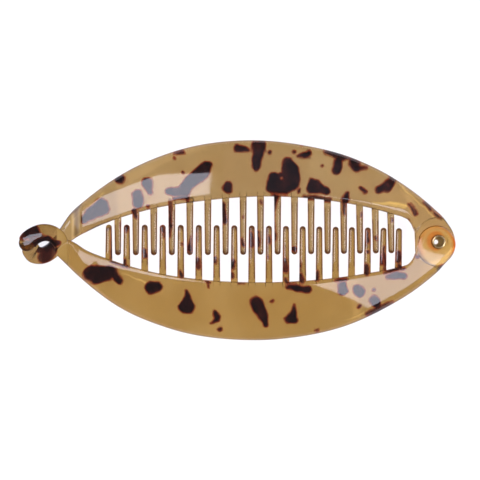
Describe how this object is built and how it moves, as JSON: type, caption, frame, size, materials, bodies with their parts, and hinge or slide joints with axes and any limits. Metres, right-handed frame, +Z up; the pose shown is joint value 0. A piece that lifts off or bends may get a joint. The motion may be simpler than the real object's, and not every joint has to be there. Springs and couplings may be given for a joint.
{
  "type": "banana hair clip",
  "caption": "Long fish-shaped hair clip: two arched toothed jaws turn on an eyelet at one end and meet in a hooked clasp at the other.",
  "frame": {"origin": "centre of the clip in plan, on the surface that it lies on", "axes": "+X along the clip from the clasp to the hinge, +Y across it towards the upper jaw, +Z up out of the arched front face"},
  "size_m": [0.1299, 0.0594, 0.0146],
  "materials": {
    "tortoiseshell_upper": "glossy see-through amber with dark brown blotches",
    "tortoiseshell_lower": "glossy see-through amber with dark brown blotches",
    "eyelet_brass": "polished, gold tone"
  },
  "bodies": {
    "upper_jaw": {"upper_jaw": "tortoiseshell_upper", "hinge_eyelet": "eyelet_brass"},
    "lower_jaw": {"lower_jaw": "tortoiseshell_lower"}
  },
  "joints": [
    {"name": "jaw_hinge", "type": "hinge", "parent": "upper_jaw", "child": "lower_jaw", "pos_m": [0.0601, -0.0005, 0.003], "axis": [0, 0, 1], "range_deg": [0, 110]}
  ]
}
